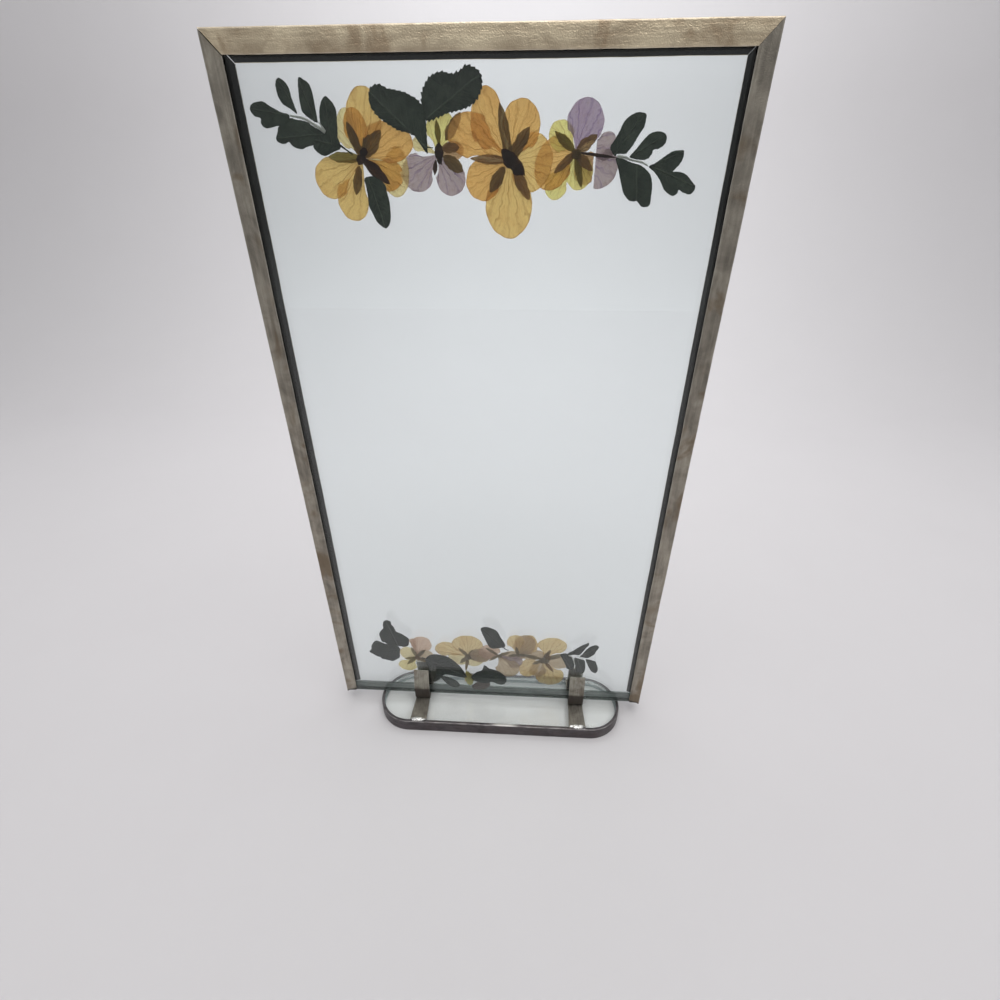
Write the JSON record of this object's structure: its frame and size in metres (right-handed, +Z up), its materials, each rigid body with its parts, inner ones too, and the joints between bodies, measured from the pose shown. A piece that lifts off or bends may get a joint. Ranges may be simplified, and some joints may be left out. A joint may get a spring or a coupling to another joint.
{
  "type": "pressed flower frame",
  "caption": "Upright glass frame holding pressed violas and leaves between two panes, gripped by two bent metal clips on an oblong glass base.",
  "frame": {"origin": "on the table, under the middle of the frame's width and the middle of the base's depth", "axes": "+Z up, +X to the right seen from the front, +Y to the back"},
  "size_m": [0.204, 0.0444, 0.356],
  "materials": {
    "channel_metal": "dull pewter patina with brown blotches",
    "clip_metal": "brushed pewter patina",
    "edging_metal": "dark patina, worn brighter on the top edge",
    "solder": "bright uneven solder",
    "clear_glass": "clear float glass with green edges",
    "pressed_petal": "dry translucent petals with darker veins",
    "pressed_leaf": "dry dark green leaves"
  },
  "bodies": {
    "root": {"back_glass": "clear_glass", "base_edging": "edging_metal", "base_glass": "clear_glass", "bottom_spacer": "clear_glass", "broad_leaf_bottom": "pressed_leaf", "bud_bottom": "pressed_leaf", "channel_left": "channel_metal", "channel_right": "channel_metal", "channel_top": "channel_metal", "clip_left": "clip_metal", "clip_right": "clip_metal", "front_glass": "clear_glass", "leaf_sprig_bottom_right": "pressed_leaf", "leaf_sprig_top_left": "pressed_leaf", "leaf_sprig_top_right": "pressed_leaf", "lobed_leaf_bottom": "pressed_leaf", "paired_leaf_bottom": "pressed_leaf", "pointed_leaf_top": "pressed_leaf", "red_leaf_bottom": "pressed_leaf", "round_leaf_bottom": "pressed_leaf", "serrated_leaf_left": "pressed_leaf", "serrated_leaf_right": "pressed_leaf", "small_leaf_bottom": "pressed_leaf", "solder_back_left": "solder", "solder_back_right": "solder", "solder_front_left": "solder", "solder_front_right": "solder", "strap_left": "clip_metal", "strap_right": "clip_metal", "upright_leaf_bottom": "pressed_leaf", "viola_bottom_brown": "pressed_petal", "viola_bottom_gold": "pressed_petal", "viola_bottom_mauve": "pressed_petal", "viola_bottom_pink": "pressed_petal", "viola_bottom_tan": "pressed_petal", "viola_top_large": "pressed_petal", "viola_top_left": "pressed_petal", "viola_top_purple": "pressed_petal", "viola_top_small": "pressed_petal"}
  },
  "joints": []
}
